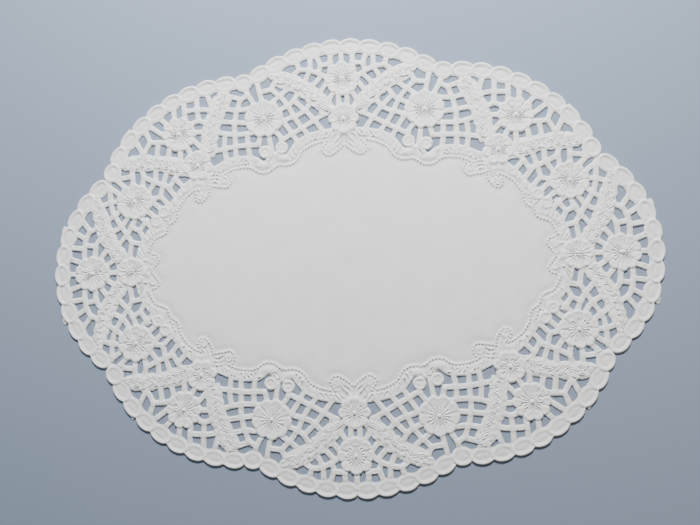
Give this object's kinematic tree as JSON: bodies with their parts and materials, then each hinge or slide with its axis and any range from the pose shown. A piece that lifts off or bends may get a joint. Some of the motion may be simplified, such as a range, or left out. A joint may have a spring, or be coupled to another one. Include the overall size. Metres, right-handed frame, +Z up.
{
  "type": "oval paper doily",
  "caption": "Flat oval sheet of embossed white paper with a cut lace border, laid under cakes, food or a vase.",
  "frame": {"origin": "centre of the flat underside", "axes": "+X along the oval's long axis, +Y along its short axis, +Z up from the underside to the embossed face"},
  "size_m": [0.3048, 0.2298, 0.0015],
  "materials": {
    "paper": "matt white embossed paper"
  },
  "bodies": {
    "root": {"doily": "paper"}
  },
  "joints": []
}
